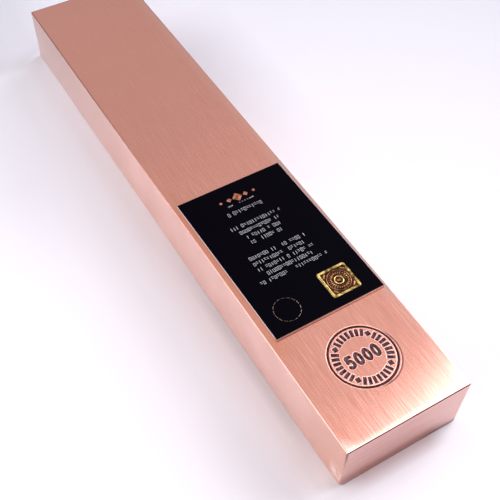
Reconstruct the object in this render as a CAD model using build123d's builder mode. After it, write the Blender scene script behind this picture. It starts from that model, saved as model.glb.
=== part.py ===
"""Copper ingot: a 5 kg bar with a struck ring near one end, and a card with a foil seal lying on it.

Lengths are in millimetres. The origin is the centre of the underside, +X runs towards the struck end and +Z is up.
"""

import os

from build123d import *

# Bar: these three sizes give 5 kg of copper
bar_length = 310.0
bar_width = 60.0
bar_height = 30.0

# Edges of the bar: nearly sharp round the ground top face, round along the foot
corner_radius_top = 0.6
corner_radius_foot = 2.3
foot_radius = 1.2
top_edge_radius = 0.45

# Ring struck into the top face, with sloping walls
ring_diameter = 29.6
ring_to_end = 32.2
ring_mouth_width = 0.85
ring_floor_width = 0.45
ring_depth = 0.4

# Card lying on the top face, a little off the middle and a little turned
card_length = 85.0
card_width = 55.0
card_thickness = 0.76
card_to_end = 55.9
card_sideways = 0.5
card_turn_degrees = 0.7

# Foil seal on the card, measured from the card's end and side that are nearest to it
seal_side = 14.5
seal_corner_radius = 1.2
seal_thickness = 0.12
seal_to_card_end = 5.2
seal_to_card_side = 8.1

# Places that follow from the sizes
bar_end = bar_length / 2
ring_centre_x = bar_end - ring_to_end
ring_mouth_radius = ring_diameter / 2
ring_wall_run = (ring_mouth_width - ring_floor_width) / 2
card_centre_x = bar_end - card_to_end - card_length / 2
seal_offset_x = card_length / 2 - seal_to_card_end - seal_side / 2
seal_offset_y = card_width / 2 - seal_to_card_side - seal_side / 2

top_face = Plane.XY.offset(bar_height)
ring_section = Plane((ring_centre_x, 0, bar_height), x_dir=(1, 0, 0), z_dir=(0, -1, 0))
card_underside = Plane((card_centre_x, card_sideways, bar_height)).rotated((0, 0, card_turn_degrees))
card_face = card_underside.offset(card_thickness)

# Ingot: the corner rounding grows from the top face down to the foot
with BuildPart() as ingot:
    with BuildSketch(Plane.XY):
        RectangleRounded(bar_length, bar_width, corner_radius_foot)
    with BuildSketch(top_face):
        RectangleRounded(bar_length, bar_width, corner_radius_top)
    loft(ruled=True)
    fillet(ingot.edges().group_by(Axis.Z)[0], radius=foot_radius)
    fillet(ingot.edges().group_by(Axis.Z)[-1], radius=top_edge_radius)
    with BuildSketch(ring_section):
        with BuildLine():
            Polyline(
                (ring_mouth_radius, 0),
                (ring_mouth_radius - ring_wall_run, -ring_depth),
                (ring_mouth_radius - ring_wall_run - ring_floor_width, -ring_depth),
                (ring_mouth_radius - ring_mouth_width, 0),
                close=True,
            )
        make_face()
    revolve(axis=Axis((ring_centre_x, 0, 0), (0, 0, 1)), mode=Mode.SUBTRACT)

# Card: flat, with sharp corners
with BuildPart() as certificate_card:
    with BuildSketch(card_underside):
        Rectangle(card_length, card_width)
    extrude(amount=card_thickness)

# Seal: a thin square of foil
with BuildPart() as seal_sticker:
    with BuildSketch(card_face):
        with Locations((seal_offset_x, seal_offset_y)):
            RectangleRounded(seal_side, seal_side, seal_corner_radius)
    extrude(amount=seal_thickness)

ingot.part.label = "ingot"
certificate_card.part.label = "certificate_card"
seal_sticker.part.label = "seal_sticker"

os.makedirs("parts", exist_ok=True)
export_step(ingot.part, "parts/ingot.step")
export_step(certificate_card.part, "parts/certificate_card.step")
export_step(seal_sticker.part, "parts/seal_sticker.step")
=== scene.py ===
"""Looks of the copper ingot: a brushed bar with a struck round mark, and a dark card with a foil seal lying on it.

Lengths are in metres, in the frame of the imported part: +X runs to the struck end of the bar, +Z is up.
"""

import math

import bpy
import numpy as np
from mathutils import Matrix, Vector, geometry


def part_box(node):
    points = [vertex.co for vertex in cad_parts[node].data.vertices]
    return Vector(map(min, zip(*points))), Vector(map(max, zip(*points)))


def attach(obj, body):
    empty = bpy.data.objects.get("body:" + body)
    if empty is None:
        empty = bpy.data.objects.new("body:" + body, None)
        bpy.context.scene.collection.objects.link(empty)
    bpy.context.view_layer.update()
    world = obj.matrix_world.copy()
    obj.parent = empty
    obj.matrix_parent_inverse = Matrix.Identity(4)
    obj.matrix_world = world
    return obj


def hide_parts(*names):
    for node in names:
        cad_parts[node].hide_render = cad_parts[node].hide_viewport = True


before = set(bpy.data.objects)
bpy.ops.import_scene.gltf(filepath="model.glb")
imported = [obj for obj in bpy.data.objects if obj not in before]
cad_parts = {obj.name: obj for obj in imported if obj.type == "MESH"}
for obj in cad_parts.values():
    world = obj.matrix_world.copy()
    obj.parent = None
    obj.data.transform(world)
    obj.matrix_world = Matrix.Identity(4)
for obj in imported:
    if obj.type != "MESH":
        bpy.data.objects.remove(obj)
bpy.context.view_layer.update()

MM = 0.001
QUARTER = math.pi / 2

# Bar: overall size from the frame, edges as the solid has them
_, bar_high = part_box("ingot")
BAR_HALF_LENGTH = bar_high.x
BAR_HALF_WIDTH = bar_high.y
BAR_HEIGHT = bar_high.z
CORNER_RADIUS_TOP = 0.6 * MM
CORNER_RADIUS_FOOT = 2.3 * MM
FOOT_RADIUS = 1.2 * MM
TOP_EDGE_RADIUS = 0.45 * MM
EDGE_SUPPORT = 0.25 * MM
FOOT_STEPS = 8
TOP_EDGE_STEPS = 4
SIDE_RINGS = 7
ROLL_OFF_RUN = 2.8 * MM
ROLL_OFF_RADIUS = 190 * MM

# Struck mark on the top face
MARK_TO_END = 32.2 * MM
MARK_CENTRE = (BAR_HALF_LENGTH - MARK_TO_END, 0.0, BAR_HEIGHT)
MARK_FIELD_RADIUS = 17.25 * MM
MARK_STEP = 0.15 * MM
MARK_COLUMNS = 600
RING_RADIUS = 14.4 * MM
RING_HALF_WIDTH = 0.42 * MM
RING_DEPTH = 0.4 * MM
PUNCH_DEPTH = 0.34 * MM
PUNCH_WALL = 0.24 * MM
LIP_HEIGHT = 0.005 * MM
LIP_WIDTH = 0.26 * MM
BORDER_RADIUS = 11.45 * MM
BORDER_HALF_HEIGHT = 1.65 * MM
BAR_MARK_HALF_WIDTH = 0.66 * MM
BAR_MARK_PITCH = math.radians(10.6)
BAR_MARKS_EACH_SIDE = 3
LOZENGE_REACH = 1.45 * MM
FIGURES = "5000"
FIGURE_HALF_WIDTH = 1.15 * MM
FIGURE_HALF_HEIGHT = 2.5 * MM
FIGURE_PITCH = 4.15 * MM
STROKE_HALF_WIDTH = 0.68 * MM
SECOND_STRIKE_SHIFT = (1.32 * MM, -0.95 * MM)
SECOND_STRIKE_DEPTH = 0.02 * MM
SECOND_STRIKE_HALF_WIDTH = 0.38 * MM
SECOND_STRIKE_FACING = 0.2
SECOND_STRIKE_FADE = 0.5

# Dark metal of the mark: how far it reaches over a punch's edge, and its shares round the second strike
PATINA_REACH = 0.85
SECOND_STRIKE_PATINA = 0.85
BETWEEN_PATINA = 0.34

# Copper
GRAIN_HEIGHT = 0.02 * MM
SPECK_TONE = (120, 78, 70)

# Card on the bar
card_low, card_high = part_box("certificate_card")
CARD_CENTRE = (card_low + card_high) / 2
CARD_UNDERSIDE = card_low.z
CARD_FACE = card_high.z
CARD_HALF_LENGTH = 42.5 * MM
CARD_HALF_WIDTH = 27.5 * MM
CARD_TURN = math.radians(0.7)
CARD_CORNER_RADIUS = 0.2 * MM
CARD_EDGE_BEVEL = 0.06 * MM

# Print on the card: places are measured along a line and up the page from the card's middle
INK_HEIGHT = 0.02 * MM
PRINT_MIDDLE = -0.7 * MM
ROW_PITCH = 3.45 * MM
STROKE_PITCH = 1.4 * MM
STROKE_WIDTH = 0.16 * MM
ORNAMENT_UP = 33.4 * MM
ORNAMENT_COUNT = 5
ORNAMENT_PITCH = 4.4 * MM
ORNAMENT_REACH = 2.6 * MM
RING_PRINT_PLACE = (-15.5 * MM, -31.6 * MM)
RING_PRINT_RADIUS = 5.95 * MM
RING_PRINT_WIDTH = 0.2 * MM
RING_PRINT_DASHES = 16
RING_PRINT_GAPS = 0.28

# Rows of print: name, place up the page, rows, strokes in a row, shortest row, height of a stroke, seed
PRINT_ROWS = [
    ("title_row", 25.4 * MM, 1, 14, 18 * MM, 2.2 * MM, 3),
    ("upper_rows", 12.1 * MM, 4, 19, 16 * MM, 2.0 * MM, 11),
    ("lower_rows", -7.9 * MM, 5, 27, 20 * MM, 2.0 * MM, 5),
    ("fine_row", 29.9 * MM, 1, 14, 17 * MM, 0.6 * MM, 8),
]

# Foil seal on the card
seal_low, seal_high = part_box("seal_sticker")
SEAL_CENTRE = (seal_low + seal_high) / 2
SEAL_SIDE = 14.5 * MM
SEAL_CORNER_RADIUS = 1.2 * MM
SEAL_THICKNESS = seal_high.z - seal_low.z
SEAL_RIM = 1.15 * MM
SEAL_FIELD = SEAL_THICKNESS * 0.5

# Rings on the seal's field: name, metal, dashes, radius, width, share of gaps, turn in degrees
SEAL_RINGS = [
    ("seal_ring", "bronze", 16, 5.35 * MM, 0.4 * MM, 0.05, 0),
    ("seal_rays", "bronze", 24, 3.85 * MM, 1.7 * MM, 0.5, 0),
    ("seal_inner_ring", "gold", 16, 2.0 * MM, 0.6 * MM, 0.05, 0),
    ("seal_middle", "bronze", 8, 0.45 * MM, 0.5 * MM, 0.05, 0),
    ("seal_corners", "bronze", 4, 6.7 * MM, 0.9 * MM, 0.8, 36),
]

# Studio light: levels in which 1 is white
KEY_LEVEL = 4.8
LEFT_GAIN = 1.5
LOW_LEFT = 2.7
LOW_RIGHT = 6.5
GLOW_LEVEL = 0.12
DARK_AHEAD = 0.04
WHITE = (1.0, 1.0, 1.0, 1.0)
LOW_TINT = (1.0, 1.03, 1.05, 1.0)
KEY_TINT = (1.0, 1.02, 1.1, 1.0)
NEAR_FILL_WATTS = 1.5
NEAR_FILL_SIZE = (0.3, 0.1)
NEAR_FILL_TINT = (1.0, 0.95, 0.9)
NEAR_FILL_PLACE = Vector((0.3, -0.5, 0.06))
NEAR_FILL_AIM = Vector((0.08, -0.03, 0.015))

# Floor
FLOOR_HALF_SIDE = 6.0
FLOOR_MIDDLE = (0.15, 0.0, 0.0)
# Floor tones: a painted fall-off of light from near to far, and the painted reddish shade before the near end
FLOOR_NEAR = (0.64, 0.595, 0.635, 1.0)
FLOOR_FAR = (0.455, 0.445, 0.49, 1.0)
FRONT_TINT = (0.8, 0.68, 0.66, 1.0)

# Camera, as the photograph was taken
CAMERA_EYE = Vector((257.79, -142.08, 333.15)) * MM
CAMERA_AIM = Vector((52.78, -11.35, 30.0)) * MM
CAMERA_ROLL = math.radians(2.049)
CAMERA_LENS = 63.25
CAMERA_SENSOR = 36.0


def smooth_step(values):
    """Smooth blend from 0 to 1 of values that are clipped to that range."""
    t = np.clip(values, 0.0, 1.0)
    return t * t * (3.0 - 2.0 * t)


def new_object(name, data):
    """An object at the origin that shows this data."""
    made = bpy.data.objects.new(name, data)
    bpy.context.scene.collection.objects.link(made)
    return made


def linear(red, green, blue):
    """Scene colour of an sRGB colour given in 0 to 255."""
    shares = [value / 255 for value in (red, green, blue)]
    curve = [s / 12.92 if s <= 0.04045 else ((s + 0.055) / 1.055) ** 2.4 for s in shares]
    return (*curve, 1.0)


class Nodes:
    """Shorthand for building one node tree. What goes into a node is a value or a socket to link from."""

    def __init__(self, tree):
        self.tree = tree

    def fill(self, sockets, values):
        """Gives the named sockets their values."""
        for name, value in values.items():
            if isinstance(value, bpy.types.NodeSocket):
                self.tree.links.new(value, sockets[name])
            else:
                sockets[name].default_value = value

    def add(self, kind, inputs=None, **settings):
        """A new node with some settings and inputs."""
        made = self.tree.nodes.new(kind)
        for name, value in settings.items():
            setattr(made, name, value)
        self.fill(made.inputs, inputs or {})
        return made

    def out(self, kind, inputs=None, **settings):
        """First output of a new node."""
        return self.add(kind, inputs, **settings).outputs[0]

    def math(self, operation, first, second=0.0):
        """Result of one operation."""
        return self.out("ShaderNodeMath", {0: first, 1: second}, operation=operation)

    def times(self, first, *others):
        """Product of all values."""
        for other in others:
            first = self.math("MULTIPLY", first, other)
        return first

    def total(self, first, *others):
        """Sum of all values."""
        for other in others:
            first = self.math("ADD", first, other)
        return first

    def weigh(self, *pairs):
        """Sum of values that each come with a weight."""
        return self.total(*[self.times(value, weight) for value, weight in pairs])

    def vector(self, x=0.0, y=0.0, z=0.0):
        """Three values as a vector."""
        return self.out("ShaderNodeCombineXYZ", {0: x, 1: y, 2: z})

    def axes(self, vector):
        """A vector's three values, also under the names X, Y and Z."""
        return self.add("ShaderNodeSeparateXYZ", {0: vector}).outputs

    def place(self):
        """Object coordinates."""
        return self.add("ShaderNodeTexCoord").outputs["Object"]

    def distance(self, place, spot):
        """Distance of a place from a spot."""
        return self.add("ShaderNodeVectorMath", {0: place, 1: spot}, operation="DISTANCE").outputs["Value"]

    def mix(self, share, first, second):
        """Colour between two colours."""
        return self.add("ShaderNodeMix", {0: share, 6: first, 7: second}, data_type="RGBA").outputs[2]

    def coats(self, colour, *coats):
        """Colour under thin coats, each a share and an sRGB colour."""
        for share, *tone in coats:
            colour = self.mix(share, colour, linear(*tone))
        return colour

    def spread(self, value, low, high, to_low=0.0, to_high=1.0, curve="LINEAR"):
        """Value taken from one range to another, clipped to its ends."""
        inputs = {0: value, 1: low, 2: high, 3: to_low, 4: to_high}
        return self.out("ShaderNodeMapRange", inputs, clamp=True, interpolation_type=curve)

    def patch(self, axes, *ramps):
        """Product of ramps, each an axis, its two ends in millimetres and the values there, or else 0 and 1."""
        shares = [self.spread(axes[axis], low * MM, high * MM, *ends) for axis, low, high, *ends in ramps]
        return self.times(*shares)

    def noise(self, place, scale, detail=2.0, roughness=0.5):
        """Noise between 0 and 1 at a place."""
        inputs = {"Vector": place, "Scale": scale, "Detail": detail, "Roughness": roughness}
        return self.out("ShaderNodeTexNoise", inputs)


# Shapes that are stacked from rings

LONG_STEPS = 62
SHORT_STEPS = 12
CORNER_STEPS = 10
RING_POINTS = 4 * (CORNER_STEPS + 1) + 2 * (LONG_STEPS - 1) + 2 * (SHORT_STEPS - 1)
SMALLEST_RADIUS = 0.02 * MM
TINY = 1e-9
FLAT_NORMAL = 0.7


def ring_outline(half_length, half_width, radius):
    """One turn round a rectangle with round corners, anticlockwise from the +X side, as rows of x, y."""
    x, y = half_length - radius, half_width - radius
    corners = [(x, y), (-x, y), (-x, -y), (x, -y)]
    points = []
    for number, (cx, cy) in enumerate(corners):
        for step in range(CORNER_STEPS + 1):
            angle = (number + step / CORNER_STEPS) * QUARTER
            points.append((cx + radius * math.cos(angle), cy + radius * math.sin(angle)))
        start = Vector(points[-1])
        angle = (number + 1) * QUARTER
        after = corners[(number + 1) % 4]
        end = Vector((after[0] + radius * math.cos(angle), after[1] + radius * math.sin(angle)))
        steps = SHORT_STEPS if number % 2 else LONG_STEPS
        points += [tuple(start.lerp(end, step / steps)) for step in range(1, steps)]
    return np.array(points)


def ring_faces(rings, count):
    """Quads between neighbouring rings of count points each, facing outwards where the rings climb."""
    faces = []
    for ring in range(rings - 1):
        low, high = ring * count, (ring + 1) * count
        for k in range(count):
            after = (k + 1) % count
            faces.append((low + k, low + after, high + after, high + k))
    return faces


def stacked_rings(profile, half_length, half_width, corner_radius):
    """Points of rings that climb the profile, rows of inset and height. corner_radius is a function of height."""
    rings = []
    for inset, height in profile:
        radius = max(corner_radius(height) - inset, SMALLEST_RADIUS)
        outline = ring_outline(half_length - inset, half_width - inset, radius)
        rings.append(np.column_stack([outline, np.full(len(outline), height)]))
    return np.vstack(rings), len(rings), len(rings[0])


# Struck mark: signed distance from the punch's outline, in the reading frame of the mark

def segment_distance(points, start, end):
    """Distance of points from the straight stroke between start and end."""
    start, along = np.array(start), np.subtract(end, start)
    share = np.clip((points - start) @ along / (along @ along), 0.0, 1.0)
    return np.linalg.norm(points - start - share[:, None] * along, axis=1)


def arc_points(centre, radii, first, last, steps):
    """Points along an arc of an ellipse, with angles in degrees."""
    angles = np.radians(np.linspace(first, last, steps))
    return [(centre[0] + radii[0] * math.cos(a), centre[1] + radii[1] * math.sin(a)) for a in angles]


def figure_strokes(figure):
    """The middle line of a plain figure, as a row of points."""
    w, h = FIGURE_HALF_WIDTH, FIGURE_HALF_HEIGHT
    if figure == "0":
        return arc_points((0, 0), (w, h), 0, 360, 29)
    bowl = arc_points((-0.12 * w, -0.36 * h), (1.12 * w, 0.64 * h), 132, -140, 21)
    return [(0.92 * w, h), (-0.74 * w, h), (-0.92 * w, 0.12 * h), *bowl]


def figures_distance(points):
    """Distance from the row of figures in the middle of the mark."""
    nearest = np.full(len(points), 1.0)
    for place, figure in enumerate(FIGURES):
        shift = (place - (len(FIGURES) - 1) / 2) * FIGURE_PITCH
        strokes = [(x + shift, y) for x, y in figure_strokes(figure)]
        for start, end in zip(strokes, strokes[1:]):
            nearest = np.minimum(nearest, segment_distance(points, start, end))
    return nearest - STROKE_HALF_WIDTH


def border_distance(radius, angle):
    """Distance from the border: four rows of short bars, with a lozenge between the rows."""
    folded = (angle + QUARTER / 2) % QUARTER - QUARTER / 2
    place = np.clip(np.round(folded / BAR_MARK_PITCH), -BAR_MARKS_EACH_SIDE, BAR_MARKS_EACH_SIDE)
    off = folded - place * BAR_MARK_PITCH
    across = np.abs(radius * np.sin(off)) - BAR_MARK_HALF_WIDTH
    along = np.abs(radius * np.cos(off) - BORDER_RADIUS) - BORDER_HALF_HEIGHT
    outside = np.hypot(np.maximum(across, 0), np.maximum(along, 0))
    bars = outside + np.minimum(np.maximum(across, along), 0)
    off = np.abs(folded) - QUARTER / 2
    lozenges = np.abs(radius * np.sin(off)) + np.abs(radius * np.cos(off) - BORDER_RADIUS) - LOZENGE_REACH
    return np.minimum(bars, lozenges / math.sqrt(2))


def struck_height(distance, depth):
    """Height of metal at a distance from a punch: a floor, a sloping wall and a lip of pushed-up metal."""
    floor = smooth_step(0.5 - distance / PUNCH_WALL)
    return LIP_HEIGHT * lip_share(distance) - depth * floor


def lip_share(distance):
    """How far the pushed-up lip stands at a distance from a punch, 0 to 1."""
    fall = np.exp(-(((distance - LIP_WIDTH / 2) / LIP_WIDTH) ** 2))
    return np.where(distance > 0, fall, 0.0) * smooth_step(distance / (LIP_WIDTH / 2))


def mark_relief(offsets):
    """Height, patina and lip of the struck mark at offsets x, y from its centre."""
    reading = np.column_stack([offsets[:, 1], -offsets[:, 0]])
    radius = np.hypot(reading[:, 0], reading[:, 1])
    angle = np.arctan2(reading[:, 1], reading[:, 0])
    ring = np.abs(radius - RING_RADIUS) - RING_HALF_WIDTH
    fine = np.minimum(border_distance(radius, angle), figures_distance(reading))
    height = np.minimum(struck_height(ring, RING_DEPTH), struck_height(fine, PUNCH_DEPTH))
    shift = np.array(SECOND_STRIKE_SHIFT)
    again = reading - shift
    shifted = np.hypot(again[:, 0], again[:, 1]) - RING_RADIUS
    second = np.abs(shifted) - SECOND_STRIKE_HALF_WIDTH
    facing = (reading @ shift) / (radius * np.hypot(*shift) + TINY)
    facing = smooth_step((facing - SECOND_STRIKE_FACING) / SECOND_STRIKE_FADE)
    outer = smooth_step((ring - PUNCH_WALL) / PUNCH_WALL) * facing
    ghost = outer * smooth_step(0.5 - second / PUNCH_WALL)
    between = smooth_step((radius - RING_RADIUS - RING_HALF_WIDTH) / PUNCH_WALL)
    between *= smooth_step(0.5 - shifted / PUNCH_WALL)
    nearest = np.minimum(ring, fine)
    patina = smooth_step(PATINA_REACH - nearest / PUNCH_WALL)
    patina = np.maximum(patina, SECOND_STRIKE_PATINA * ghost)
    patina = np.maximum(patina, BETWEEN_PATINA * between)
    return height - SECOND_STRIKE_DEPTH * ghost, patina, lip_share(nearest)


def bar_profile():
    """Inset and height up the bar's sides: round foot, plain side, eased top edge."""
    foot = np.linspace(0, QUARTER, FOOT_STEPS + 1)
    rim = np.linspace(0, QUARTER, TOP_EDGE_STEPS + 1)
    low, high = FOOT_RADIUS + EDGE_SUPPORT, BAR_HEIGHT - TOP_EDGE_RADIUS - EDGE_SUPPORT
    profile = [(FOOT_RADIUS + EDGE_SUPPORT, 0.0)]
    profile += [(FOOT_RADIUS * (1 - math.sin(a)), FOOT_RADIUS * (1 - math.cos(a))) for a in foot]
    profile += [(0.0, height) for height in np.linspace(low, high, SIDE_RINGS)]
    top = BAR_HEIGHT - TOP_EDGE_RADIUS
    profile += [(TOP_EDGE_RADIUS * (1 - math.cos(a)), top + TOP_EDGE_RADIUS * math.sin(a)) for a in rim]
    return profile + [(TOP_EDGE_RADIUS + EDGE_SUPPORT, BAR_HEIGHT)]


def bar_corner_radius(height):
    """Rounding of the bar's upright corners, which grows towards the foot."""
    return CORNER_RADIUS_FOOT + (CORNER_RADIUS_TOP - CORNER_RADIUS_FOOT) * height / BAR_HEIGHT


def make_bar(brushed, satin, edge):
    """The whole bar as one closed mesh, with the struck mark in a fine round field of the top face."""
    points, rings, count = stacked_rings(bar_profile(), BAR_HALF_LENGTH, BAR_HALF_WIDTH, bar_corner_radius)
    faces = [tuple(reversed(range(count)))] + ring_faces(rings, count)
    rim_first = (rings - 1) * count

    centre = np.array(MARK_CENTRE[:2])
    radii = np.arange(MARK_STEP, MARK_FIELD_RADIUS + MARK_STEP / 2, MARK_STEP)
    angles = np.arange(MARK_COLUMNS) * 2 * math.pi / MARK_COLUMNS
    field = np.stack([np.outer(radii, np.cos(angles)), np.outer(radii, np.sin(angles))], axis=-1)
    field = np.vstack([field.reshape(-1, 2), np.zeros((1, 2))])
    height, patina, lip = mark_relief(field)
    first, middle = len(points), len(points) + len(field) - 1
    points = np.vstack([points, np.column_stack([field + centre, BAR_HEIGHT + height])])
    for ring in range(len(radii) - 1):
        inner, outer = first + ring * MARK_COLUMNS, first + (ring + 1) * MARK_COLUMNS
        for k in range(MARK_COLUMNS):
            after = (k + 1) % MARK_COLUMNS
            faces.append((inner + k, outer + k, outer + after, inner + after))
    faces += [(middle, first + k, first + (k + 1) % MARK_COLUMNS) for k in range(MARK_COLUMNS)]

    edge_first = first + (len(radii) - 1) * MARK_COLUMNS
    border = [*range(rim_first, rim_first + count), *range(edge_first, edge_first + MARK_COLUMNS)]
    flat = [Vector(points[k][:2]) for k in border]
    loops = [list(range(count)), list(range(count, count + MARK_COLUMNS))]
    found = geometry.delaunay_2d_cdt(flat, [], loops, 1, TINY)
    for triangle in found[2]:
        corner = [border[found[3][k][0]] for k in triangle]
        if np.linalg.norm(points[corner, :2].mean(axis=0) - centre) > radii[-1]:
            faces.append(tuple(corner))

    mesh = bpy.data.meshes.new("copper_bar")
    mesh.from_pydata(points.tolist(), [], faces)
    mesh.shade_smooth()
    for material in (brushed, satin, edge):
        mesh.materials.append(material)
    kinds = np.zeros(len(faces), dtype=np.int32)
    rim_faces = 1 + (rings - 2 - TOP_EDGE_STEPS) * count
    kinds[:rim_faces] = 1
    kinds[rim_faces:rim_faces + TOP_EDGE_STEPS * count] = 2
    mesh.polygons.foreach_set("material_index", kinds)
    for name, values in (("patina", patina), ("lip", lip)):
        whole = np.concatenate([np.zeros(first), values]).astype(np.float32)
        mesh.attributes.new(name, "FLOAT", "POINT").data.foreach_set("value", whole)
    add_grain_map(mesh)
    mesh.update()
    bar = new_object("copper_bar", mesh)
    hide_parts("ingot")
    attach(bar, "root")


def add_grain_map(mesh):
    """UV map in metres whose first direction runs across the grain: across the top, upwards on the sides."""
    layer = mesh.uv_layers.new(name="grain")
    corners = np.empty(len(mesh.loops), dtype=np.int32)
    mesh.loops.foreach_get("vertex_index", corners)
    places = np.empty(len(mesh.vertices) * 3)
    mesh.vertices.foreach_get("co", places)
    places = places.reshape(-1, 3)[corners]
    normals = np.empty(len(mesh.polygons) * 3)
    mesh.polygons.foreach_get("normal", normals)
    sizes = np.empty(len(mesh.polygons), dtype=np.int32)
    mesh.polygons.foreach_get("loop_total", sizes)
    normals = np.repeat(np.abs(normals.reshape(-1, 3)), sizes, axis=0)
    flat = normals[:, 2] > FLAT_NORMAL
    end = ~flat & (normals[:, 0] > normals[:, 1])
    across = np.where(flat, places[:, 1], places[:, 2])
    along = np.where(end, places[:, 1], places[:, 0])
    layer.data.foreach_set("uv", np.column_stack([across, along]).ravel().astype(np.float32))


# Shared effects

def new_group(name, inputs, outputs):
    """An empty shader group with named inputs and outputs, as its nodes, input node and output node."""
    tree = bpy.data.node_groups.new(name, "ShaderNodeTree")
    for label, kind in inputs.items():
        tree.interface.new_socket(label, in_out="INPUT", socket_type=kind)
    for label in outputs:
        tree.interface.new_socket(label, in_out="OUTPUT", socket_type="NodeSocketFloat")
    nodes = Nodes(tree)
    return nodes, nodes.add("NodeGroupInput").outputs, nodes.add("NodeGroupOutput").inputs


def grinding_lines():
    """Fine lines left by a belt or a file: a mixed streak and a mask of a few bright scratches."""
    inputs = {"Map": "NodeSocketVector", "Line width": "NodeSocketFloat", "Line length": "NodeSocketFloat"}
    nodes, given, out = new_group("grinding_lines", inputs, ("Streak", "Scratch"))
    split = nodes.axes(given["Map"])

    def layer(width, length, shift, detail):
        across = nodes.math("DIVIDE", split[0], nodes.times(given["Line width"], width))
        along = nodes.math("DIVIDE", split[1], nodes.times(given["Line length"], length))
        return nodes.noise(nodes.vector(across, along, shift), 1.0, detail, 0.55)

    streak = nodes.weigh((layer(1.0, 1.0, 0.0, 2.0), 0.75), (layer(3.5, 2.5, 7.0, 1.0), 0.25))
    scratch = nodes.times(nodes.spread(layer(0.9, 1.6, 13.0, 0.0), 0.72, 0.8), layer(9.0, 1.0, 19.0, 0.0))
    nodes.fill(out, {"Streak": streak, "Scratch": scratch})
    return nodes.tree


def dark_specks():
    """A mask of sparse small specks."""
    inputs = {"Place": "NodeSocketVector", "Per metre": "NodeSocketFloat", "Reach": "NodeSocketFloat"}
    nodes, given, out = new_group("dark_specks", inputs, ("Speck",))
    cells = nodes.add("ShaderNodeTexVoronoi", {"Vector": given["Place"], "Scale": given["Per metre"]}).outputs
    chosen = nodes.spread(nodes.out("ShaderNodeSeparateColor", {0: cells["Color"]}), 0.74, 0.76)
    near = nodes.spread(nodes.math("DIVIDE", cells["Distance"], given["Reach"]), 0.6, 1.0, 1.0, 0.0)
    nodes.fill(out, {"Speck": nodes.times(chosen, near)})
    return nodes.tree


# Materials

def new_material(name):
    """A material with only its shader and output, as nodes, shader inputs and material."""
    material = bpy.data.materials.new(name)
    material.use_nodes = True
    nodes = Nodes(material.node_tree)
    return nodes, material.node_tree.nodes["Principled BSDF"].inputs, material


def grain_lines(nodes, group, width, length):
    """Grinding lines on the piece's grain map, as the group's outputs."""
    grain = nodes.out("ShaderNodeUVMap", uv_map="grain")
    inputs = {"Map": grain, "Line width": width, "Line length": length}
    return nodes.add("ShaderNodeGroup", inputs, node_tree=group).outputs


def speck_mask(nodes, group, per_metre, reach):
    """Mask of specks on object coordinates."""
    inputs = {"Place": nodes.place(), "Per metre": per_metre, "Reach": reach}
    return nodes.out("ShaderNodeGroup", inputs, node_tree=group)


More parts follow.
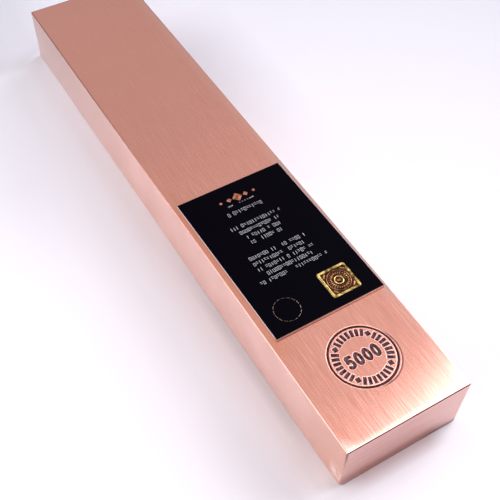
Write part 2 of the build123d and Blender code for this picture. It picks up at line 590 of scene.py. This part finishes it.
def brushed_copper(lines, specks):
    """Ground top face: grain along the bar and dark metal in the struck mark, with painted light and shade:
    highlights on the mark's lips and the near-left corner, a sheen along the right edge, stronger streaks towards
    the near end and shade beside the card.
    """
    nodes, shader, material = new_material("brushed_copper")
    grain = grain_lines(nodes, lines, 0.26 * MM, 13 * MM)
    place = nodes.place()
    axes = nodes.axes(place)
    patina = nodes.add("ShaderNodeAttribute", attribute_name="patina").outputs["Fac"]
    lip = nodes.add("ShaderNodeAttribute", attribute_name="lip").outputs["Fac"]

    streak = nodes.math("SUBTRACT", nodes.spread(grain["Streak"], 0.35, 0.65), 0.5)
    # Painted light on real grain: the streaks' contrast rises towards the near end, where the highlight shows them
    streak = nodes.times(streak, nodes.patch(axes, ("X", -60, 110, 0.15, 0.8)))
    colour = nodes.mix(nodes.math("ADD", streak, 0.5), linear(217, 146, 130), linear(249, 179, 163))
    clouds = nodes.spread(nodes.noise(place, 35.0), 0.35, 0.7, 0.0, 0.35)
    # Painted sheen: the strip along the right edge of the top is painted paler
    right_edge_sheen_paint = nodes.patch(axes, ("Y", 24, 28, 0.0, 0.35))
    # Painted shade: the strip between the card and the left edge, and on past the card's near end, is painted
    # darker and redder
    card_side_shade_paint = nodes.patch(axes, ("Y", -15, -27, 0.0, 0.6), ("X", 0, 20), ("X", 104, 112, 1.0, 0.2))
    # Painted shade and reflection of the card: the strip beside its right edge is painted greyer
    card_edge_shade_paint = nodes.patch(axes, ("Y", 27.4, 28.6, 0.0, 0.7), ("X", 6, 14), ("X", 106, 98))
    # Painted highlight: the top is painted near white at its near-left corner
    from_tip = nodes.distance(place, (BAR_HALF_LENGTH, -BAR_HALF_WIDTH, BAR_HEIGHT))
    colour = nodes.coats(
        colour,
        (clouds, 229, 160, 143),
        (right_edge_sheen_paint, 236, 182, 172),
        (card_side_shade_paint, 226, 150, 124),
        (card_edge_shade_paint, 196, 174, 172),
        (nodes.times(grain["Scratch"], 0.6), 250, 205, 188),
        (nodes.spread(from_tip, 7 * MM, 2 * MM, 0.0, 0.5), 255, 235, 225),
        (nodes.times(speck_mask(nodes, specks, 45.0, 0.02), 0.55), *SPECK_TONE),
        # Painted highlight: the pushed-up lips are painted paler
        (nodes.times(lip, 0.25), 246, 192, 176),
    )

    mottle = nodes.noise(place, 900.0, 3.0)
    dark = nodes.mix(nodes.spread(mottle, 0.35, 0.7), linear(44, 30, 38), linear(104, 80, 88))
    off_ring = {"off": nodes.math("SUBTRACT", nodes.distance(place, MARK_CENTRE), RING_RADIUS)}
    on_ring = nodes.patch(off_ring, ("off", -0.9, -0.6), ("off", 2.4, 2.1))
    dark = nodes.coats(dark, (nodes.times(on_ring, 0.7), 60, 30, 32))

    past = nodes.math("SUBTRACT", nodes.math("ABSOLUTE", axes["X"]), BAR_HALF_LENGTH - ROLL_OFF_RUN)
    past = nodes.math("MAXIMUM", past, 0.0)
    fall = nodes.math("DIVIDE", nodes.times(past, past), -2 * ROLL_OFF_RADIUS)
    rolled = nodes.out("ShaderNodeBump", {"Height": fall, "Strength": 1.0, "Distance": 1.0})
    depth = nodes.patch(axes, ("X", -60, 110, 0.1, 0.28))
    bump = {"Height": grain["Streak"], "Strength": depth, "Distance": GRAIN_HEIGHT, "Normal": rolled}
    rough = nodes.spread(grain["Streak"], 0.3, 0.7, 0.13, 0.17)
    nodes.fill(shader, {
        "Base Color": nodes.mix(patina, colour, dark),
        "Roughness": nodes.total(rough, nodes.times(lip, 0.3), nodes.times(patina, 0.25)),
        "Normal": nodes.out("ShaderNodeBump", bump),
        "Tangent": nodes.out("ShaderNodeTangent", direction_type="UV_MAP", uv_map="grain"),
        "Metallic": 1.0,
        "Anisotropic": 1.0,
    })
    return material


def satin_copper(lines, specks):
    """Sides, ends and underside: dull, with faint scratches along them and saw lines on the ends, and painted
    light and shade: a redder near part and a duller far part of the sides, lighter right halves and darker feet of
    the ends, and a highlight by the near-left foot.
    """
    nodes, shader, material = new_material("satin_copper")
    grain = grain_lines(nodes, lines, 0.5 * MM, 30 * MM)
    place = nodes.place()
    axes = nodes.axes(place)
    mottle = nodes.noise(place, 260.0, 3.0, 0.6)
    reach = nodes.math("ABSOLUTE", axes["X"])
    end = nodes.spread(reach, BAR_HALF_LENGTH - 1.4 * MM, BAR_HALF_LENGTH - 0.5 * MM)

    cloud = nodes.spread(nodes.noise(place, 55.0, 3.0), 0.3, 0.7)
    side = nodes.mix(cloud, linear(238, 203, 193), linear(246, 212, 203))
    # Painted light: the sides are painted redder and darker towards the near end
    side = nodes.coats(side, (nodes.patch(axes, ("X", 115, 152, 0.0, 0.65)), 226, 180, 163))
    # Painted shade: the far half of the sides is painted duller, darker towards the top
    far = nodes.mix(nodes.patch(axes, ("Z", 5, 24)), linear(230, 208, 203), linear(219, 195, 187))
    side = nodes.mix(nodes.patch(axes, ("X", -30, -115, 0.0, 0.9)), side, far)

    bands = grain_lines(nodes, lines, 2.4 * MM, 26 * MM)["Streak"]
    streaked = nodes.weigh((bands, 0.6), (grain["Streak"], 0.4))
    sawn = nodes.mix(nodes.spread(streaked, 0.38, 0.62), linear(221, 179, 169), linear(231, 192, 182))
    # Painted light: the right half of each end is painted paler
    end_light_paint = nodes.patch(axes, ("Y", 2, 26, 0.0, 0.35))
    # Painted shade: the ends are painted darker low down, where the shaded floor at the foot shows in them
    foot = nodes.patch(axes, ("Z", 10, 5), ("Y", 14, 26, 0.65, 0.0))
    # Painted shade: a dark band at the very foot of the ends' right parts
    foot_line_shade_paint = nodes.patch(axes, ("Z", 4.2, 1.4, 0.0, 0.85), ("Y", 8, 16))
    sawn = nodes.coats(sawn, (end_light_paint, 242, 214, 208), (foot, 170, 122, 114), (foot_line_shade_paint, 118, 80, 76))

    corner = nodes.times(
        nodes.spread(axes["X"], BAR_HALF_LENGTH - 0.8 * MM, BAR_HALF_LENGTH - 0.35 * MM),
        nodes.spread(axes["Y"], 0.75 * MM - BAR_HALF_WIDTH, 0.4 * MM - BAR_HALF_WIDTH),
        nodes.patch(axes, ("Z", 14, 27, 0.0, 0.75)),
    )
    # Painted highlight: a pale mottled patch low on the left side by the near end
    foot_highlight_paint = nodes.patch(axes, ("X", 146.5, 149.5), ("Z", 14, 9), ("Z", 2, 6, 0.3, 1.0), ("Y", 0, -1))
    foot_highlight_paint = nodes.times(foot_highlight_paint, nodes.spread(mottle, 0.4, 0.55), nodes.math("SUBTRACT", 1.0, end), 0.8)
    colour = nodes.coats(
        nodes.mix(end, side, sawn),
        (corner, 104, 62, 54),
        (foot_highlight_paint, 255, 240, 234),
        (nodes.times(grain["Scratch"], 0.45), 250, 222, 214),
        (nodes.times(speck_mask(nodes, specks, 38.0, 0.016), 0.6), *SPECK_TONE),
    )

    worn = nodes.weigh((mottle, 0.6), (grain["Streak"], 0.4))
    rough = nodes.math("SUBTRACT", nodes.spread(worn, 0.3, 0.7, 0.42, 0.54), nodes.times(end, 0.16))
    height = nodes.weigh((nodes.noise(place, 2600.0), 0.5), (grain["Streak"], 0.5))
    bump = {"Height": height, "Strength": 0.12, "Distance": GRAIN_HEIGHT}
    nodes.fill(shader, {
        "Base Color": colour,
        "Roughness": rough,
        "Normal": nodes.out("ShaderNodeBump", bump),
        "Metallic": 1.0,
        "Specular Tint": (0.86, 0.8, 0.8, 1.0),
    })
    return material


def polished_edge():
    """Eased edge round the top face: a painted highlight along the near half of the left side, painted shade along
    its far half and along the top of each end, and darker along the right side.
    """
    nodes, shader, material = new_material("polished_edge")
    place = nodes.place()
    axes = nodes.axes(place)
    wear = nodes.noise(place, 400.0, 3.0)
    # Painted highlight: the left edge is painted paler towards the near end
    edge_highlight_paint = nodes.patch(axes, ("Y", 0, -1), ("X", -20, 80, 0.0, 0.4))
    # Painted shade: the far half of the left edge is painted darker
    far_edge_shade_paint = nodes.patch(axes, ("Y", 0, -1), ("X", 10, -60, 0.0, 0.75))
    # Darker along the right side
    dull = nodes.patch(axes, ("Y", 0, 1), ("X", 95, 120, 0.85, 0.6))
    # Painted shade: the edge is painted dark along the top of each end
    end = nodes.math("ABSOLUTE", axes["X"])
    end = nodes.spread(end, BAR_HALF_LENGTH - 0.5 * MM, BAR_HALF_LENGTH - 0.3 * MM, 0.0, 0.9)
    colour = nodes.coats(
        nodes.mix(nodes.spread(wear, 0.3, 0.7), linear(226, 152, 134), linear(244, 178, 160)),
        (edge_highlight_paint, 255, 222, 210),
        (far_edge_shade_paint, 150, 96, 84),
        (dull, 112, 84, 80),
        (end, 84, 48, 46),
    )
    rough = nodes.spread(wear, 0.3, 0.7, 0.14, 0.24)
    nodes.fill(shader, {"Base Color": colour, "Roughness": rough, "Metallic": 1.0})
    return material


def card_black():
    """Printed face of the card, with a copper-coloured strip along its near end: worn, and a painted reflection of
    the copper.
    """
    nodes, shader, material = new_material("card_black")
    place = nodes.place()
    axes = nodes.axes(place)
    grain = nodes.noise(place, 3000.0)
    colour = nodes.mix(grain, linear(2, 1, 5), linear(5, 3, 9))
    cosine, sine = math.cos(CARD_TURN), math.sin(CARD_TURN)
    along = nodes.weigh((axes["X"], cosine), (axes["Y"], sine))
    near_end = CARD_CENTRE.x * cosine + CARD_CENTRE.y * sine + CARD_HALF_LENGTH
    # A strip along the near end is painted copper-coloured: worn, and a painted reflection of the copper below
    worn = nodes.spread(along, near_end - 0.5 * MM, near_end - 0.2 * MM, 0.0, 0.8)
    nodes.fill(shader, {
        "Base Color": nodes.coats(colour, (worn, 150, 106, 97)),
        "Roughness": nodes.spread(grain, 0.3, 0.7, 0.4, 0.48),
        "Specular IOR Level": 0.01,
    })
    return material


def card_core():
    """Pale cut edge of the card, with a painted reflection of the copper at its near end, darker at its left as
    painted shade.
    """
    nodes, shader, material = new_material("card_core")
    place = nodes.place()
    axes = nodes.axes(place)
    colour = nodes.mix(nodes.noise(place, 4000.0), linear(168, 154, 158), linear(196, 184, 188))
    near_end = CARD_CENTRE.x + CARD_HALF_LENGTH
    # Painted reflection of the copper on the near end of the cut edge, painted darker at its left as shade
    copper_light_paint = nodes.spread(axes["X"], near_end - 1.2 * MM, near_end - 0.8 * MM, 0.0, 0.85)
    tint = nodes.mix(nodes.patch(axes, ("Y", -18, 18)), linear(150, 98, 86), linear(206, 148, 132))
    nodes.fill(shader, {"Base Color": nodes.mix(copper_light_paint, colour, tint), "Roughness": 0.7})
    return material


def print_white():
    """White print, a little uneven."""
    nodes, shader, material = new_material("print_white")
    grain = nodes.spread(nodes.noise(nodes.place(), 1500.0), 0.35, 0.65)
    colour = nodes.mix(grain, linear(172, 172, 178), linear(208, 208, 214))
    nodes.fill(shader, {"Base Color": colour, "Roughness": 0.6, "Specular IOR Level": 0.1})
    return material


def foil(name, dark, bright, scale, low, high, middle=0.5):
    """Thin metal foil whose tone wanders between two colours."""
    nodes, shader, material = new_material(name)
    cloud = nodes.noise(nodes.place(), scale)
    colour = nodes.mix(nodes.spread(cloud, middle - 0.15, middle + 0.15), dark, bright)
    rough = nodes.spread(cloud, 0.3, 0.7, low, high)
    nodes.fill(shader, {"Base Color": colour, "Roughness": rough, "Metallic": 1.0})
    return material


# Geometry node trees

GAP_CHANCE = 0.15
BOX_SHARE = 0.6
DASH_SHARES = (0.45, 0.9)
SHORTEST_STROKE = 0.85
LENGTH_PER_REACH = 1.9
SHAPE_DRAW = 2.99
ARC_STEPS = 8


def new_tree(name, inputs):
    """An empty geometry tree with named inputs, as its nodes, inputs and a function that ends it."""
    tree = bpy.data.node_groups.new(name, "GeometryNodeTree")
    tree.is_modifier = True
    for label, kind in inputs.items():
        tree.interface.new_socket(label, in_out="INPUT", socket_type="NodeSocket" + kind)
    tree.interface.new_socket("Material", in_out="INPUT", socket_type="NodeSocketMaterial")
    tree.interface.new_socket("Geometry", in_out="OUTPUT", socket_type="NodeSocketGeometry")
    nodes = Nodes(tree)
    given = nodes.add("NodeGroupInput").outputs

    def end(shape):
        whole = nodes.out("GeometryNodeRealizeInstances", {"Geometry": shape})
        inked = nodes.out("GeometryNodeSetMaterial", {"Geometry": whole, "Material": given["Material"]})
        nodes.add("NodeGroupOutput", {"Geometry": inked})
        return tree

    return nodes, given, end


def rectangle(nodes, width, height):
    """A flat rectangle as a curve."""
    return nodes.out("GeometryNodeCurvePrimitiveQuadrilateral", {"Width": width, "Height": height})


def grow(name, tree, material, place, slot, **sizes):
    """A piece made by a tree with these sizes, moved to its place as a plain mesh."""
    piece = new_object(name, bpy.data.meshes.new(name))
    modifier = piece.modifiers.new(tree.name, "NODES")
    modifier.node_group = tree
    values = {label.replace("_", " ").capitalize(): value for label, value in sizes.items()}
    values["Material"] = material
    for socket in tree.interface.items_tree:
        if socket.in_out == "INPUT":
            modifier[socket.identifier] = values[socket.name]
    graph = bpy.context.evaluated_depsgraph_get()
    mesh = bpy.data.meshes.new_from_object(piece.evaluated_get(graph))
    piece.modifiers.remove(modifier)
    mesh.name = name
    mesh.transform(place)
    piece.data = mesh
    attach(piece, "root")


def tick_rows_tree():
    """Centred rows of plain strokes, open boxes and pairs of dashes, with gaps, where a page has its lines."""
    lengths = ("Row pitch", "Tick pitch", "Shortest row", "Tick width", "Tick height", "Ink height")
    sizes = dict.fromkeys(lengths, "Float") | dict.fromkeys(("Rows", "Ticks", "Seed"), "Int")
    nodes, given, end = new_tree("tick_rows", sizes)
    length = nodes.times(given["Tick pitch"], nodes.math("SUBTRACT", given["Ticks"], 1.0))
    depth = nodes.times(given["Row pitch"], nodes.math("SUBTRACT", given["Rows"], 1.0))
    grid = {"Size X": length, "Size Y": depth, "Vertices X": given["Ticks"], "Vertices Y": given["Rows"]}
    points = nodes.out("GeometryNodeMeshGrid", grid)
    place = nodes.axes(nodes.out("GeometryNodeInputPosition"))
    row = nodes.math("ROUND", nodes.math("DIVIDE", place[1], nodes.times(given["Row pitch"], 0.5)))
    index = nodes.out("GeometryNodeInputIndex")

    def chance(low, high, number, shift):
        made = nodes.add("FunctionNodeRandomValue", data_type="FLOAT")
        values = {"Min_001": low, "Max_001": high, "ID": number, "Seed": nodes.math("ADD", given["Seed"], shift)}
        nodes.fill({socket.identifier: socket for socket in made.inputs}, values)
        return {socket.identifier: socket for socket in made.outputs}["Value_001"]

    def moved(shape, by):
        return nodes.out("GeometryNodeTransform", {"Geometry": shape, "Translation": by})

    longest = nodes.math("DIVIDE", length, LENGTH_PER_REACH)
    reach = chance(nodes.math("DIVIDE", given["Shortest row"], 2.0), longest, row, 0.0)
    beyond = nodes.math("GREATER_THAN", nodes.math("ABSOLUTE", place[0]), reach)
    gap = nodes.math("LESS_THAN", chance(0.0, 1.0, index, 1.0), GAP_CHANCE)
    gone = {"Geometry": points, "Selection": nodes.math("MAXIMUM", beyond, gap)}
    points = nodes.out("GeometryNodeDeleteGeometry", gone)

    size = nodes.vector(given["Tick width"], given["Tick height"], given["Ink height"])
    half = nodes.out("ShaderNodeVectorMath", {0: size, 1: (0.0, 0.5, 0.5)}, operation="MULTIPLY")
    tick = moved(nodes.out("GeometryNodeMeshCube", {"Size": size}), half)
    wide = nodes.times(given["Tick pitch"], BOX_SHARE)
    tall = nodes.math("SUBTRACT", given["Tick height"], given["Tick width"])
    line = rectangle(nodes, given["Tick width"], given["Ink height"])
    box = {"Curve": rectangle(nodes, wide, tall), "Profile Curve": line}
    box = moved(nodes.out("GeometryNodeCurveToMesh", box), half)
    size = nodes.vector(wide, given["Tick width"], given["Ink height"])
    dash = nodes.out("GeometryNodeMeshCube", {"Size": size})
    pair = nodes.add("GeometryNodeJoinGeometry")
    for share in DASH_SHARES:
        lift = nodes.out("ShaderNodeVectorMath", {0: half, 1: (0.0, 2 * share, 1.0)}, operation="MULTIPLY")
        nodes.fill(pair.inputs, {0: moved(dash, lift)})
    shapes = nodes.add("GeometryNodeGeometryToInstance")
    for shape in (tick, box, pair.outputs[0]):
        nodes.fill(shapes.inputs, {0: shape})
    scale = nodes.vector(1.0, chance(SHORTEST_STROKE, 1.0, index, 2.0), 1.0)
    row = {"Points": points, "Instance": shapes.outputs[0], "Pick Instance": True, "Scale": scale}
    row["Instance Index"] = chance(0.0, SHAPE_DRAW, index, 3.0)
    return end(nodes.out("GeometryNodeInstanceOnPoints", row))


def dashed_ring_tree():
    """A circle of arc dashes with small gaps."""
    sizes = dict.fromkeys(("Radius", "Line width", "Ink height", "Gap share"), "Float") | {"Dashes": "Int"}
    nodes, given, end = new_tree("dashed_ring", sizes)
    turn = nodes.math("DIVIDE", 2 * math.pi, given["Dashes"])
    sweep = nodes.times(turn, nodes.math("SUBTRACT", 1.0, given["Gap share"]))
    arc = {"Resolution": ARC_STEPS, "Radius": given["Radius"], "Sweep Angle": sweep}
    line = rectangle(nodes, given["Line width"], given["Ink height"])
    dash = {"Curve": nodes.out("GeometryNodeCurveArc", arc), "Profile Curve": line, "Fill Caps": True}
    points = nodes.out("GeometryNodePoints", {"Count": given["Dashes"]})
    facing = nodes.vector(z=nodes.times(nodes.out("GeometryNodeInputIndex"), turn))
    dashes = {"Points": points, "Instance": nodes.out("GeometryNodeCurveToMesh", dash), "Rotation": facing}
    return end(nodes.out("GeometryNodeInstanceOnPoints", dashes))


def lozenge_row_tree():
    """A row of flat lozenges that get smaller on both sides of the middle one."""
    sizes = dict.fromkeys(("Pitch", "Reach", "Ink height"), "Float") | {"Count": "Int"}
    nodes, given, end = new_tree("lozenge_row", sizes)
    shape = {"Vertices": 4, "Radius": given["Reach"], "Depth": given["Ink height"]}
    shape = nodes.out("GeometryNodeMeshCylinder", shape)
    middle = nodes.math("DIVIDE", nodes.math("SUBTRACT", given["Count"], 1.0), 2.0)
    off = nodes.math("SUBTRACT", nodes.out("GeometryNodeInputIndex"), middle)
    spot = nodes.vector(nodes.times(off, given["Pitch"]))
    points = nodes.out("GeometryNodePoints", {"Count": given["Count"], "Position": spot})
    share = nodes.math("DIVIDE", 1.0, nodes.math("ADD", nodes.math("ABSOLUTE", off), 1.0))
    row = {"Points": points, "Instance": shape, "Scale": nodes.vector(share, share, 1.0)}
    return end(nodes.out("GeometryNodeInstanceOnPoints", row))


# Card and seal

def card_place(along=0.0, up=0.0, rise=0.0):
    """Matrix from a spot on the card's page (along a line, up the page, out of the face) to the bar's frame."""
    page = Matrix(((0, -1, 0, 0), (1, 0, 0, 0), (0, 0, 1, 0), (0, 0, 0, 1)))
    place = Matrix.Translation((CARD_CENTRE.x, CARD_CENTRE.y, CARD_FACE))
    return place @ Matrix.Rotation(CARD_TURN, 4, "Z") @ page @ Matrix.Translation((along, up, rise))


def make_slab(name, profile, half_length, half_width, radius, materials, second, place):
    """A closed slab of stacked rings at its place. The slice second of its faces has the second material."""
    points, rings, count = stacked_rings(profile, half_length, half_width, lambda height: radius)
    faces = ring_faces(rings, count)
    faces += [tuple(reversed(range(count))), tuple(range((rings - 1) * count, rings * count))]
    mesh = bpy.data.meshes.new(name)
    mesh.from_pydata(points.tolist(), [], faces)
    for material in materials:
        mesh.materials.append(material)
    kinds = np.zeros(len(faces), dtype=np.int32)
    kinds[second] = 1
    mesh.polygons.foreach_set("material_index", kinds)
    mesh.transform(place)
    mesh.update()
    return new_object(name, mesh)


def make_card(black, core):
    """The card: black faces and a pale cut edge with a fine bevel."""
    low, bevel = CARD_UNDERSIDE - CARD_FACE, CARD_EDGE_BEVEL
    profile = [(2 * bevel, low), (bevel, low), (0.0, low + bevel)]
    profile += [(0.0, -bevel), (bevel, 0.0), (2 * bevel, 0.0)]
    cut_edge = slice(RING_POINTS, 4 * RING_POINTS)
    card = make_slab("card_sheet", profile, CARD_HALF_WIDTH, CARD_HALF_LENGTH, CARD_CORNER_RADIUS,
                     (black, core), cut_edge, card_place())
    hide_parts("certificate_card")
    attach(card, "root")


def make_print(white, copper_foil, ring_foil):
    """Print on the card: a foil ornament, rows of plain strokes and a dashed foil ring, with no letters."""
    rows = tick_rows_tree()
    for name, up, count, ticks, shortest, height, seed in PRINT_ROWS:
        place = card_place(PRINT_MIDDLE, up - height / 2)
        grow(name, rows, white, place, "card", rows=count, row_pitch=ROW_PITCH, ticks=ticks,
             tick_pitch=STROKE_PITCH, shortest_row=shortest, tick_width=STROKE_WIDTH, tick_height=height,
             ink_height=INK_HEIGHT, seed=seed)
    place = card_place(PRINT_MIDDLE, ORNAMENT_UP, INK_HEIGHT / 2)
    grow("foil_ornament", lozenge_row_tree(), copper_foil, place, "gold_foil", count=ORNAMENT_COUNT,
         pitch=ORNAMENT_PITCH, reach=ORNAMENT_REACH, ink_height=INK_HEIGHT)
    place = card_place(*RING_PRINT_PLACE, INK_HEIGHT / 2)
    grow("foil_ring", dashed_ring_tree(), ring_foil, place, "gold_foil", dashes=RING_PRINT_DASHES,
         radius=RING_PRINT_RADIUS, line_width=RING_PRINT_WIDTH, ink_height=INK_HEIGHT, gap_share=RING_PRINT_GAPS)


def make_seal(gold, bronze, brown):
    """The seal: a square of dark foil with a raised bright rim, rings, rays and corner marks."""
    profile = [(0.0, 0.0), (0.0, SEAL_THICKNESS * 0.7), (SEAL_THICKNESS * 0.4, SEAL_THICKNESS)]
    profile += [(SEAL_RIM - SEAL_THICKNESS, SEAL_THICKNESS), (SEAL_RIM, SEAL_FIELD)]
    place = Matrix.Translation((SEAL_CENTRE.x, SEAL_CENTRE.y, seal_low.z)) @ Matrix.Rotation(CARD_TURN, 4, "Z")
    field_face = slice(-1, None)
    seal = make_slab("foil_seal", profile, SEAL_SIDE / 2, SEAL_SIDE / 2, SEAL_CORNER_RADIUS,
                     (gold, brown), field_face, place)
    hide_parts("seal_sticker")
    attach(seal, "root")

    dashes = dashed_ring_tree()
    metals = {"gold": gold, "bronze": bronze}
    relief = SEAL_THICKNESS - SEAL_FIELD
    on_field = place @ Matrix.Translation((0, 0, SEAL_FIELD + relief / 2))
    for name, metal, number, radius, width, gap, turn in SEAL_RINGS:
        turned = on_field @ Matrix.Rotation(math.radians(turn), 4, "Z")
        grow(name, dashes, metals[metal], turned, "gold_foil", dashes=number, radius=radius,
             line_width=width, ink_height=relief, gap_share=gap)


# Studio

def make_floor():
    """Pale paper that shows near white round the bar, with a painted fall-off of light behind it, painted shadows
    and lighter patches, and the shadow it keeps.
    """
    nodes, _, material = new_material("floor")
    nodes.tree.nodes.remove(nodes.tree.nodes["Principled BSDF"])
    place = nodes.place()
    x, y, _ = nodes.axes(place)
    slant = nodes.math("ADD", x, nodes.spread(y, -45 * MM, -25 * MM, -6.3 * MM, 2.7 * MM))
    axes = {"X": x, "Y": y, "slant": slant}

    def patch(*ramps):
        return nodes.patch(axes, *ramps)

    # Painted light and shade: patches left of the bar painted lighter, painted shadows beside and behind the bar
    # and along its foot, and a painted reddish shade before the near end
    far_left = patch(("X", 0, -120, 0.0, 0.27), ("slant", -158.5, -152), ("Y", -52, -36, 0.4, 1.0), ("Y", 0, -20))
    open_left = patch(("Y", -55, -75, 0.0, 0.1), ("X", -60, 0))
    near_left = patch(("X", 138, 150, 0.0, 0.12), ("X", 158, 153), ("Y", -46, -40), ("Y", -31.5, -34.5))
    far_right = patch(("X", 30, -80), ("Y", 90, 35), ("Y", 0, 20, 0.0, 0.31), ("X", -155, -115))
    far_corner = patch(("X", -145, -157), ("Y", 0, -30, 0.0, 0.14), ("Y", -250, -80))
    contact = patch(("Y", -36.5, -32, 0.0, 0.2), ("X", 0, 60), ("X", 145, 120), ("Y", 0, -20))
    beside = patch(("X", 90, 120, 0.0, 0.05), ("Y", -44, -50), ("Y", -78, -60), ("X", 200, 150))
    front = patch(("X", 162, 156.5), ("Y", 22, 14), ("Y", -30, -19), ("X", 147, 154))

    fade = nodes.spread(x, -340 * MM, -190 * MM, curve="SMOOTHSTEP")
    pale = nodes.total(far_left, open_left, near_left)
    painted_shadow = nodes.total(nodes.times(nodes.total(far_right, far_corner), fade), contact, beside)
    gain = nodes.math("ADD", 1.0, nodes.math("SUBTRACT", pale, painted_shadow))
    # Painted fall-off of light: the floor darkens with distance from the bar's near end
    away = nodes.spread(nodes.distance(place, FLOOR_MIDDLE), 150 * MM, 420 * MM)
    tone = nodes.mix(away, FLOOR_NEAR, FLOOR_FAR)
    tone = nodes.out("ShaderNodeVectorMath", {0: tone, "Scale": gain}, operation="SCALE")
    tint = nodes.mix(front, WHITE, FRONT_TINT)
    tone = nodes.out("ShaderNodeVectorMath", {0: tone, 1: tint}, operation="MULTIPLY")
    matt = nodes.out("ShaderNodeBsdfDiffuse", {"Color": tone})
    nodes.fill(nodes.tree.nodes["Material Output"].inputs, {"Surface": matt})

    mesh = bpy.data.meshes.new("floor")
    half = FLOOR_HALF_SIDE
    mesh.from_pydata([(-half, -half, 0), (half, -half, 0), (half, half, 0), (-half, half, 0)], [], [(0, 1, 2, 3)])
    mesh.materials.append(material)
    new_object("floor", mesh)


def make_world():
    """Soft studio light: a bright soft-edged box overhead, even light above and a fill from the near side."""
    world = bpy.data.worlds.new("studio")
    bpy.context.scene.world = world
    world.use_nodes = True
    nodes = Nodes(world.node_tree)
    direction = nodes.add("ShaderNodeTexCoord").outputs["Generated"]
    x, y, z = nodes.axes(direction)

    def leaning(value, middle, slope):
        return nodes.total(value, nodes.times(nodes.math("SUBTRACT", y, middle), slope))

    def towards(aim, low, high, to_low, to_high):
        facing = nodes.add("ShaderNodeVectorMath", {0: direction, 1: aim}, operation="DOT_PRODUCT")
        return nodes.spread(facing.outputs["Value"], low, high, to_low, to_high, "SMOOTHSTEP")

    above = nodes.spread(leaning(z, 0.41, 0.3), 0.66, 0.87, 0.65, 0.9)
    left = nodes.times(nodes.spread(y, -0.35, -0.55), nodes.spread(z, 0.3, 0.45), nodes.spread(x, -0.6, -0.45))
    above = nodes.total(above, nodes.times(left, LEFT_GAIN))
    low = towards((-0.25, -0.97, 0.0), 0.78, 0.92, 0.45, LOW_LEFT)
    low = nodes.total(low, towards((0.0, 1.0, 0.0), 0.6, 0.8, 0.0, LOW_RIGHT))
    level = nodes.out("ShaderNodeMix", {0: nodes.spread(z, 0.4, 0.6, curve="SMOOTHSTEP"), 2: low, 3: above})
    level = nodes.times(level, towards((0.8, 0.33, 0.5), 0.75, 0.88, 1.0, DARK_AHEAD))

    bend = (nodes.spread(y, 0.41, 0.5, 0.0, 0.013), nodes.spread(y, 0.37, 0.33, 0.0, 0.005))
    edge = nodes.total(leaning(x, 0.4, 0.16), *bend)
    box = nodes.times(
        nodes.spread(edge, -0.298, -0.259),
        nodes.spread(edge, 0.15, 0.25, 1.0, 0.0),
        nodes.spread(y, 0.15, 0.25),
        nodes.spread(y, 0.85, 0.95, 1.0, 0.0),
        nodes.math("GREATER_THAN", z, 0.0),
    )
    edge = leaning(x, 0.41, 1.2)
    glow = nodes.times(nodes.spread(edge, -0.34, -0.28), nodes.spread(edge, 0.1, 0.25, 1.0, 0.0))
    glow = nodes.times(glow, nodes.spread(z, 0.6, 0.7))
    level = nodes.total(level, nodes.times(box, KEY_LEVEL), nodes.times(glow, GLOW_LEVEL))

    seen = nodes.add("ShaderNodeLightPath").outputs["Is Camera Ray"]
    tint = nodes.mix(nodes.spread(z, 0.72, 0.6), WHITE, LOW_TINT)
    tint = nodes.mix(nodes.spread(box, 0.3, 0.9), tint, KEY_TINT)
    nodes.fill(world.node_tree.nodes["Background"].inputs, {
        "Strength": nodes.out("ShaderNodeMix", {0: seen, 2: level, 3: 1.0}),
        "Color": nodes.mix(seen, tint, WHITE),
    })


def make_near_fill():
    """A low soft box to the left of the bar's near end."""
    data = bpy.data.lights.new("near_fill", "AREA")
    data.shape = "RECTANGLE"
    data.size, data.size_y = NEAR_FILL_SIZE
    data.energy = NEAR_FILL_WATTS
    data.color = NEAR_FILL_TINT
    lamp = new_object("near_fill", data)
    lamp.location = NEAR_FILL_PLACE
    lamp.rotation_mode = "QUATERNION"
    lamp.rotation_quaternion = (NEAR_FILL_AIM - NEAR_FILL_PLACE).to_track_quat("-Z", "Y")
    lamp.visible_camera = False


def make_camera():
    """The photograph's view."""
    data = bpy.data.cameras.new("photo_view")
    data.lens = CAMERA_LENS
    data.sensor_width = CAMERA_SENSOR
    camera = new_object("photo_view", data)
    camera.location = CAMERA_EYE
    camera.rotation_mode = "QUATERNION"
    heading = (CAMERA_AIM - CAMERA_EYE).to_track_quat("-Z", "Y")
    camera.rotation_quaternion = heading @ Matrix.Rotation(CAMERA_ROLL, 3, "Z").to_quaternion()
    bpy.context.scene.camera = camera


make_camera()
make_world()
make_near_fill()
make_floor()
lines, specks = grinding_lines(), dark_specks()
make_bar(brushed_copper(lines, specks), satin_copper(lines, specks), polished_edge())
make_card(card_black(), card_core())
gold = foil("gold_foil", linear(88, 54, 15), linear(216, 188, 114), 400.0, 0.2, 0.34, 0.48)
bronze = foil("bronze_foil", linear(70, 38, 20), linear(146, 104, 66), 520.0, 0.24, 0.38)
brown = foil("brown_foil", linear(34, 13, 10), linear(76, 42, 26), 500.0, 0.3, 0.42)
copper_foil = foil("copper_foil", linear(140, 82, 62), linear(206, 136, 108), 700.0, 0.25, 0.35)
ring_foil = foil("ring_foil", linear(72, 58, 50), linear(130, 112, 96), 900.0, 0.3, 0.4)
make_print(print_white(), copper_foil, ring_foil)
make_seal(gold, bronze, brown)

bpy.context.scene.view_settings.view_transform = "Standard"
